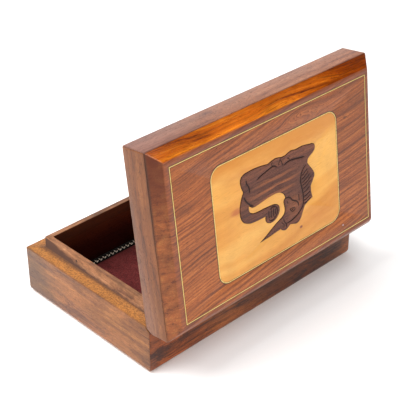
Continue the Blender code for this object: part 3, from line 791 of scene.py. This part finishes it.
def cad_mesh(node):
    """A CAD node's solid in closed-box millimetres, with its flat faces whole again."""
    bm = bmesh.new()
    bm.from_mesh(frame["nodes"][node].data)
    bm.transform(Matrix.Scale(1 / MM, 4) @ PLACES[BODY_OF[node]].inverted())
    bmesh.ops.remove_doubles(bm, verts=bm.verts, dist=0.002)
    bmesh.ops.dissolve_limit(bm, angle_limit=math.radians(1), verts=bm.verts, edges=bm.edges)
    return bm


SHARP_ANGLE = math.radians(35)
MITRE_SLACK = 0.15


def on_mitre(edge):
    """True for an edge in one of the 45 degree joints at the corners, which stay tight."""
    return all(
        abs((HALF_X - abs(vertex.co.x)) - (HALF_Y - abs(vertex.co.y))) < MITRE_SLACK for vertex in edge.verts
    )


def never(_edge):
    return False


def soften(bm, radius, segments, skip):
    """Rounds the sharp edges, in millimetres, apart from those that skip is true for."""
    sharp = [
        edge for edge in bm.edges
        if len(edge.link_faces) == 2 and edge.calc_face_angle() > SHARP_ANGLE and not skip(edge)
    ]
    bmesh.ops.bevel(
        bm, geom=sharp, offset=radius, segments=segments, profile=0.5, affect="EDGES", clamp_overlap=True)


def refined(node, material, ease=0.35, segments=2, skip=never):
    """A copy of a CAD piece with its edges eased. It replaces the node."""
    bm = cad_mesh(node)
    soften(bm, ease, segments, skip)
    return add_piece(node + "_finished", bm, [material], BODY_OF[node], node)


def inlay_edge(edge):
    """True for an edge of the board's grooves and pocket, or under it."""
    middle = (edge.verts[0].co + edge.verts[1].co) / 2
    rim = CHAMFER + 1.0
    return abs(middle.x) <= HALF_X - rim and abs(middle.y) <= HALF_Y - rim


def on_hip(edge):
    """True for an edge where two of the board's chamfers meet."""
    rise = abs(edge.verts[0].co.z - edge.verts[1].co.z)
    return rise > CHAMFER / 2 and on_mitre(edge) and not inlay_edge(edge)


HIP_RADIUS = 1.6
CHAMFER_RADIUS = 0.7
INLAY_RADIUS = 0.08


def build_board():
    """Worn round at the corners, eased along its chamfers and crisp where the inlay meets it."""
    bm = cad_mesh("lid_top_board")
    soften(bm, HIP_RADIUS, 3, lambda edge: not on_hip(edge))
    soften(bm, CHAMFER_RADIUS, 3, inlay_edge)
    soften(bm, INLAY_RADIUS, 1, lambda edge: not inlay_edge(edge))
    return add_piece("lid_top_board_finished", bm, [board_wood()], "lid", "lid_top_board")


def build_wood():
    """Each wall is (palette, shelf palette, contrast, clouds), and each rail is a tint."""
    walls = {
        "right": (tinted(WALNUT, (1.08, 1.05, 1.06)), tinted(GOLDEN_WOOD, (0.97, 0.95, 0.82)), 1.7, 0.32),
        "rear": (SHADED_WOOD, GOLDEN_WOOD, 3.4, 0.5),
        "front": (tinted(ROSEWOOD, (0.8, 1.0, 1.4)), GOLDEN_WOOD, 1.3, 0.2),
        "left": (tinted(WALNUT, (1.0, 0.95, 0.92)), GOLDEN_WOOD, 1.0, 0.2),
    }
    rails = {
        "right": (0.60, 0.71, 0.91),
        "rear": (0.8, 0.9, 0.95),
        # The front rail's tint is mostly painted sheen: a blue-grey wash standing for the reflection on it.
        "front": (0.83, 1.22, 2.9),
        "left": (0.7, 0.8, 0.9),
    }
    for seed, side in enumerate(SIDES, start=1):
        wall = wall_wood(side, seed, *walls[side])
        refined(f"base_{side}_wall", wall, skip=on_mitre)
        refined(f"lid_{side}_rail", rail_wood(side, seed + 4, rails[side]), skip=on_mitre)
    build_board()
    refined("base_bottom_panel", plywood())


# ---------------------------------------------------------------- inlay

def wobble(bm, amount, grain_size, step):
    """Cuts long straight pieces every step and pushes their points about a little, as hand work has."""
    for axis in range(2):
        values = [vertex.co[axis] for vertex in bm.verts]
        normal = Vector((1, 0, 0)) if axis == 0 else Vector((0, 1, 0))
        for place in np.arange(min(values) + step / 2, max(values), step):
            everything = bm.verts[:] + bm.edges[:] + bm.faces[:]
            bmesh.ops.bisect_plane(bm, geom=everything, plane_co=normal * place, plane_no=normal)
    for vertex in bm.verts:
        vertex.co += noise.noise_vector(vertex.co / grain_size) * amount


def inlaid_brass(node, material, ease, skip, grain_size):
    bm = cad_mesh(node)
    soften(bm, ease, 2, skip)
    wobble(bm, amount=0.06, grain_size=grain_size, step=4.0)
    add_piece(f"{node}_finished", bm, [material], "lid", node)


def build_brass_inlay():
    line_brass = brass("line_brass", 0.3, from_line, 0.15)
    for side in SIDES:
        inlaid_brass(f"brass_line_{side}", line_brass, 0.14, on_mitre, 3.0)
    inlaid_brass("panel_brass_border", brass("border_brass", 0.7, from_border, 0.17), 0.12, never, 2.5)
    refined("light_wood_panel", panel_wood(), ease=0.1, segments=1)


# The horse's cuts, in millimetres on the lid seen from above: the line, its half width and its depth.
CUTS = {
    "crest": (0.55, 0.50, [
        (-4.7, 23.0), (-10.5, 22.7), (-15.0, 21.3), (-18.5, 19.3), (-21.3, 16.7), (-22.2, 13.3), (-22.2, 7.6),
        (-21.4, 3.6), (-20.5, -1.5), (-21.3, -6.1), (-23.3, -9.3), (-26.5, -11.8)]),
    "cheek": (0.50, 0.50, [
        (-17.3, 15.0), (-17.0, 12.7), (-15.0, 10.5), (-11.6, 8.5), (-9.9, 6.2), (-7.6, 4.8), (-5.6, 4.6)]),
    "throat": (0.45, 0.40, [(-18.0, 11.6), (-18.1, 9.0), (-18.0, 6.5)]),
    "upper_lid": (0.40, 0.40, [(-14.2, 15.2), (-12.6, 16.6), (-10.8, 16.4), (-9.4, 15.0), (-8.4, 13.6)]),
    "lower_lid": (0.35, 0.35, [(-13.6, 15.0), (-12.2, 14.2), (-10.6, 14.0), (-9.0, 13.9)]),
    "pupil": (0.55, 0.45, [(-11.9, 15.3), (-11.3, 15.2), (-10.7, 15.0)]),
    "nostril": (0.35, 0.30, [(-7.6, 9.4), (-6.6, 8.2), (-6.9, 7.2)]),
    "forelock": (0.45, 0.40, [(-4.7, 26.0), (-4.2, 23.4), (-2.6, 20.6), (-2.0, 18.4)]),
    "forelock_curl": (0.35, 0.30, [(-1.4, 25.2), (-2.2, 23.2), (-0.9, 21.4), (0.6, 20.2)]),
    "foreleg": (0.55, 0.50, [
        (-25.5, -18.0), (-20.2, -19.0), (-16.2, -19.8), (-11.6, -20.4), (-8.7, -20.1), (-5.9, -19.3)]),
    "fore_hoof": (0.40, 0.35, [(-4.7, -19.3), (-3.9, -21.9), (-2.5, -24.4), (-2.7, -25.4)]),
    "fetlock": (0.40, 0.35, [(-11.2, -21.2), (-10.2, -22.6), (-8.8, -23.2)]),
    "hind_hoof": (0.40, 0.35, [(-0.7, -21.0), (-1.2, -22.8), (-2.5, -24.4)]),
    "hind_leg": (0.55, 0.50, [
        (1.0, -20.7), (3.0, -21.9), (5.0, -22.4), (10.1, -21.3), (15.8, -20.1), (19.8, -18.7)]),
    "hoof_end": (0.40, 0.35, [(5.0, -22.4), (5.6, -24.0), (4.8, -25.4)]),
    "rump": (0.55, 0.50, [(27.0, -12.4), (27.5, -16.4), (29.0, -19.3), (29.5, -22.1)]),
    "tail_root": (0.60, 0.50, [(24.7, -2.1), (27.8, -4.4), (30.7, -7.8), (32.6, -11.4)]),
    "tuft_rim": (0.45, 0.45, [
        (11.6, 13.3), (10.0, 14.6), (7.6, 14.9), (5.0, 13.5), (3.2, 10.9), (3.6, 7.6), (6.4, 5.8),
        (10.1, 6.4)]),
}
TUFT_STRANDS = [
    ((4.9, 11.8), (4.6, 8.0)), ((6.8, 13.0), (6.5, 7.0)), ((8.8, 13.2), (8.8, 7.0)),
    ((10.8, 12.6), (11.1, 7.2))]
MANE_STRANDS = [
    ((-22.8, 15.6), (-29.4, 13.6)), ((-22.8, 13.2), (-29.0, 11.4)), ((-22.9, 10.4), (-29.4, 8.6)),
    ((-22.8, 7.4), (-28.8, 5.0)), ((-22.5, 4.5), (-30.4, 1.2)), ((-21.9, 2.1), (-31.0, -1.6)),
    ((-21.8, -0.2), (-29.8, -4.0)), ((-21.7, -2.8), (-28.6, -6.4)), ((-22.0, -5.4), (-27.6, -8.6))]
STRAND = (0.42, 0.42)
HORN_RIBS = 7
HORN_RIB = (0.35, 0.22)


def smooth_path(points, step=0.4):
    """Points every step or so along a Catmull-Rom curve through the given ones."""
    points = np.array(points, float)
    if len(points) == 2:
        count = max(2, int(np.linalg.norm(points[1] - points[0]) / step) + 1)
        return points[0] + np.linspace(0, 1, count)[:, None] * (points[1] - points[0])
    ends = np.vstack([2 * points[0] - points[1], points, 2 * points[-1] - points[-2]])
    path = []
    for a, b, c, d in zip(ends, ends[1:], ends[2:], ends[3:]):
        count = max(2, int(np.linalg.norm(c - b) / step) + 1)
        t = np.linspace(0, 1, count, endpoint=False)[:, None]
        bend = (2 * a - 5 * b + 4 * c - d) * t**2 + (3 * b - a - 3 * c + d) * t**3
        path.append(0.5 * (2 * b + (c - a) * t + bend))
    return np.vstack([*path, points[-1:]])


def nearest_on(points, path):
    """Distance from each point to a broken line, and how far along it the nearest place is, from 0 to 1."""
    start, step = path[:-1], path[1:] - path[:-1]
    offset = points[:, None] - start[None]
    share = np.clip((offset * step).sum(2) / (step**2).sum(1), 0, 1)
    gaps = np.linalg.norm(offset - share[..., None] * step, axis=2)
    nearest = gaps.argmin(1)
    rows = np.arange(len(points))
    return gaps[rows, nearest], (nearest + share[rows, nearest]) / len(start)


def all_cuts():
    """Every carved line as (path, half width, depth): the long cuts, the strands and the horn's ribs."""
    cuts = [(smooth_path(points), width, depth) for width, depth, points in CUTS.values()]
    for (x0, y0), (x1, y1) in TUFT_STRANDS + MANE_STRANDS:
        bow = np.array([(x0, y0), ((x0 + x1) / 2 + 0.4, (y0 + y1) / 2 + 0.7), (x1, y1)])
        cuts.append((smooth_path(bow), *STRAND))
    for rib in range(HORN_RIBS):
        x = 2.4 + 2.2 * rib
        cuts.append((smooth_path([(x, 23.9 + 0.12 * x), (x + 1.0, 22.6 + 0.14 * x)]), *HORN_RIB))
    return cuts


def horse_outline():
    """The inlay's edge from the upper face of its CAD solid, as points in order."""
    bm = cad_mesh("horned_horse_inlay")
    bm.normal_update()
    upper = max((face for face in bm.faces if face.normal.z > 0.9), key=lambda face: face.calc_area())
    outline = np.array([vertex.co.xy for vertex in upper.verts])
    bm.free()
    return outline


def inside_outline(points, outline):
    """True for points inside a closed outline, by counting crossings."""
    x, y = points[:, 0, None], points[:, 1, None]
    x0, y0 = outline[:, 0], outline[:, 1]
    x1, y1 = np.roll(x0, -1), np.roll(y0, -1)
    spans = (y0 > y) != (y1 > y)
    crossing = x0 + (y - y0) * (x1 - x0) / np.where(y1 == y0, 1, y1 - y0)
    return (spans & (x < crossing)).sum(1) % 2 == 1


def side_points(path, offset):
    """Points beside a line, at a distance to its left."""
    step = np.gradient(path, axis=0)
    left = np.stack([-step[:, 1], step[:, 0]], 1) / np.maximum(np.linalg.norm(step, axis=1), 1e-9)[:, None]
    return path + left * offset


RIM_STEP = 0.6
RIM_INSETS = (0.14, 0.34, 0.62, 1.0)
GRID_STEP = 0.62
CLOSEST = 0.2


def relief_points(outline, cuts):
    """Where the relief's surface is measured: along the rim, along each cut and on a grid between them."""
    ring = np.vstack([outline, outline[:1]])
    fine_ring = np.vstack([
        a + np.linspace(0, 1, max(2, int(np.linalg.norm(b - a) / RIM_STEP) + 1), False)[:, None] * (b - a)
        for a, b in zip(ring, ring[1:])])
    groups = [side_points(fine_ring, inset) for inset in RIM_INSETS]
    for path, width, _ in cuts:
        groups += [side_points(path, share * width) for share in (0, 0.45, -0.45, 1.0, -1.0)]
    x, y = np.meshgrid(np.arange(-38, 38, GRID_STEP), np.arange(-28, 29, GRID_STEP))
    x[::2] += GRID_STEP / 2
    groups.append(np.stack([x.ravel(), y.ravel()], 1))
    taken, kept = set(), []
    for point in np.vstack(groups):
        cell = (round(point[0] / CLOSEST), round(point[1] / CLOSEST))
        if cell not in taken:
            taken.add(cell)
            kept.append(point)
    kept = np.array(kept)
    kept = kept[inside_outline(kept, outline)]
    return kept[nearest_on(kept, ring)[0] > 0.1]


RIM_RADIUS = 0.9
RIM_DROP = 0.42


def relief_height(points, outline, cuts, proud):
    """Height of the carved face above the board: rounded at the rim, cut and hollowed along the lines."""
    ring = np.vstack([outline, outline[:1]])
    to_rim = np.minimum(nearest_on(points, ring)[0] / RIM_RADIUS, 1)
    height = proud - RIM_DROP * (1 - np.sqrt(1 - (1 - to_rim) ** 2))
    groove, hollow = np.zeros(len(points)), np.zeros(len(points))
    for path, width, depth in cuts:
        gap, along = nearest_on(points, path)
        ends = np.clip(np.minimum(along, 1 - along) * 6 + 0.35, 0, 1)
        groove = np.maximum(groove, depth * ends * np.clip(1 - (gap / width) ** 2, 0, 1) ** 1.3)
        hollow = np.maximum(hollow, 0.5 * depth * ends * np.exp(-((gap / (3.2 * width)) ** 2)))
    tooled = np.array([noise.noise(Vector((x * 0.5, y * 0.9, 0))) for x, y in points]) * 0.05
    return height - groove - hollow * 0.55 + tooled - 0.04


def build_horse():
    """The carved horse: a triangulated relief with its own rim, down to the floor of its seat."""
    low, high = closed_box("horned_horse_inlay")
    outline, cuts = horse_outline(), all_cuts()
    points = np.vstack([outline, relief_points(outline, cuts)])
    count = len(outline)
    rim = [(index, (index + 1) % count) for index in range(count)]
    places, _, faces, *_ = delaunay_2d_cdt([Vector(point) for point in points], rim, [], 1, 1e-4)
    places = np.array([tuple(place) for place in places])
    heights = TOP_Z + relief_height(places, outline, cuts, high.z - TOP_Z)
    bm = bmesh.new()
    verts = [bm.verts.new((x, y, min(z, high.z))) for (x, y), z in zip(places, heights)]
    for face in faces:
        bm.faces.new([verts[index] for index in face])
    edges = [edge for edge in bm.edges if edge.is_boundary]
    grown = bmesh.ops.extrude_edge_only(bm, edges=edges)["geom"]
    for vertex in grown:
        if isinstance(vertex, bmesh.types.BMVert):
            vertex.co.z = low.z
    bmesh.ops.holes_fill(bm, edges=[edge for edge in bm.edges if edge.is_boundary], sides=0)
    bmesh.ops.recalc_face_normals(bm, faces=bm.faces)
    add_piece("horned_horse_carved", bm, [carved_wood(high.z - TOP_Z)], "lid",
              "horned_horse_inlay", smooth_degrees=70)


# ---------------------------------------------------------------- lining

PILE = 0.12
EDGE_DROP = 0.25
EDGE_WIDTH = 1.5


def build_velvet(prefix, material):
    """A sheet of velvet glued flat, its face a little uneven and rolled down at the edges."""
    node = f"{prefix}_velvet"
    low, high = closed_box(node)
    size = high - low
    bm = bmesh.new()
    bmesh.ops.create_grid(bm, x_segments=90, y_segments=54, size=0.5)
    for vertex in bm.verts:
        vertex.co.x *= size.x
        vertex.co.y *= size.y
    back = bm.faces[:]
    grown = bmesh.ops.extrude_face_region(bm, geom=back)["geom"]
    pile_up = 1 if prefix == "base" else -1
    face_z, back_z = (high.z, low.z) if pile_up > 0 else (low.z, high.z)
    face_verts = {item for item in grown if isinstance(item, bmesh.types.BMVert)}
    for vertex in bm.verts:
        if vertex not in face_verts:
            vertex.co.z = back_z
            continue
        edge = min(size.x / 2 - abs(vertex.co.x), size.y / 2 - abs(vertex.co.y))
        waves = 0.5 + 0.5 * noise.noise(vertex.co * 0.12) + 0.2 * noise.noise(vertex.co * 0.5)
        rolled = EDGE_DROP * max(0, 1 - edge / EDGE_WIDTH) ** 2
        vertex.co.z = face_z - pile_up * (PILE * min(max(waves, 0), 1) + rolled)
    bmesh.ops.recalc_face_normals(bm, faces=bm.faces)
    piece = add_piece(f"{node}_pile", bm, [material], prefix, node)


BRAID_PITCH = 3.75
CORD_RADIUS = 0.42
CORD_TWIST = 1.9
BAND = 0.5
STITCH_SLANT = math.radians(42)
LONG_STITCH = (1.25, 0.45, 0.46)
SHORT_STITCH = (0.95, 0.42, 0.42)


def tube(bm, rings, material_index=0):
    """Joins rings of points into a tube with closed ends."""
    faces = [rings[0][::-1], rings[-1]]
    for first, second in zip(rings, rings[1:]):
        for index in range(len(first)):
            after = (index + 1) % len(first)
            faces.append((first[index], first[after], second[after], second[index]))
    for corners in faces:
        bm.faces.new(corners).material_index = material_index


def add_cord(bm, length, height, out):
    """A two-ply twisted cord along X, centred on the middle, at a height up the braid and a distance out."""
    sides, step = 8, 0.62
    count = int(length / step)
    rings = []
    for index in range(count + 1):
        x = (index / count - 0.5) * length
        ring = []
        for side in range(sides):
            angle = 2 * math.pi * side / sides
            lobe = CORD_RADIUS * (1 + 0.2 * math.cos(2 * angle - 2 * math.pi * x / CORD_TWIST))
            ring.append(bm.verts.new((x, out + lobe * math.sin(angle), height + lobe * math.cos(angle))))
        rings.append(ring)
    tube(bm, rings)


def add_stitch(bm, x, height, out, slant, size):
    """One pale stitch, a rounded lozenge of yarn leaning in the braid's plane."""
    lean = Matrix.Rotation(slant, 3, "Y")
    centre = Vector((x, out, height))
    sides, turns = 8, (-0.92, -0.62, 0.0, 0.62, 0.92)
    rings = []
    for along in turns:
        girth = math.sqrt(1 - along**2)
        rings.append([
            bm.verts.new(centre + lean @ Vector((
                along * size[0],
                girth * size[1] * math.sin(2 * math.pi * side / sides),
                girth * size[2] * math.cos(2 * math.pi * side / sides))))
            for side in range(sides)])
    tube(bm, rings, material_index=1)


def braid_strip(length, height, depth):
    """A gimp braid along X against the wall at y = 0: a black band, two cords and two rows of stitches."""
    bm = bmesh.new()
    lower = [(0, 0.15), (BAND * 0.8, 0.15), (BAND, 0.5)]
    profile = lower + [(y, height - z) for y, z in reversed(lower)]
    ends = [[bm.verts.new((sign * (length / 2 - y), y, z)) for y, z in profile] for sign in (-1, 1)]
    tube(bm, ends)
    cord_out = min(0.6, depth - 1.25 * CORD_RADIUS)
    cord_length = length - 2 * (cord_out + CORD_RADIUS * 1.2)
    for level in (1.25 * CORD_RADIUS, height - 1.25 * CORD_RADIUS):
        add_cord(bm, cord_length, level, cord_out)
    count = int((length - 2 * depth - 1.5) / BRAID_PITCH)
    for index in range(count):
        x = (index - (count - 1) / 2) * BRAID_PITCH
        add_stitch(bm, x - BRAID_PITCH / 4, height * 0.62, 0.72, -STITCH_SLANT, LONG_STITCH)
        add_stitch(bm, x + BRAID_PITCH / 4, height * 0.40, 0.70, STITCH_SLANT, SHORT_STITCH)
    bmesh.ops.recalc_face_normals(bm, faces=bm.faces)
    return bm


def build_braid(prefix, side, materials):
    """Turns a strip to face inwards from its wall; on the lid the strip hangs down from the velvet."""
    node = f"{prefix}_braid_{side}"
    low, high = closed_box(node)
    size, middle = high - low, (low + high) / 2
    long_x = size.x > size.y
    length, depth = (size.x, size.y) if long_x else (size.y, size.x)
    bm = braid_strip(length, size.z, depth)
    turn = {"front": 0, "left": -90, "rear": 180, "right": 90}[side]
    wall = {
        "front": (middle.x, low.y), "rear": (middle.x, high.y),
        "left": (low.x, middle.y), "right": (high.x, middle.y)}[side]
    upright = Matrix.Translation((*wall, low.z))
    if prefix == "lid":
        upright = Matrix.Translation((*wall, high.z)) @ Matrix.Diagonal((1, 1, -1, 1))
    bm.transform(upright @ Matrix.Rotation(math.radians(turn), 4, "Z"))
    bmesh.ops.recalc_face_normals(bm, faces=bm.faces)
    add_piece(f"{node}_woven", bm, materials, prefix, node, smooth_degrees=60)


def build_lining():
    pile = velvet()
    stiff_card = card()
    braid_yarns = [
        yarn("black_yarn", (0.002, 0.002, 0.002), (0.010, 0.009, 0.008)),
        yarn("cream_yarn", (0.74, 0.64, 0.47), (0.98, 0.92, 0.78)),
    ]
    for prefix in ("base", "lid"):
        refined(f"{prefix}_card", stiff_card, ease=0.1, segments=1)
        build_velvet(prefix, pile)
        for side in SIDES:
            build_braid(prefix, side, braid_yarns)


# ---------------------------------------------------------------- hinges

def build_hinges():
    metal = brass("hinge_brass", 0.3)
    for hinge in HINGES:
        refined(f"{hinge}_base_leaf", metal, ease=0.09)
        refined(f"{hinge}_lid_leaf", metal, ease=0.09)
        refined(f"{hinge}_pin", metal, ease=0.2)
        for part in ("base", "lid"):
            for number in (1, 2):
                refined(f"{hinge}_{part}_screw_{number}", metal, ease=0.06)


make_camera()
make_studio()
build_wood()
build_brass_inlay()
build_horse()
build_lining()
build_hinges()
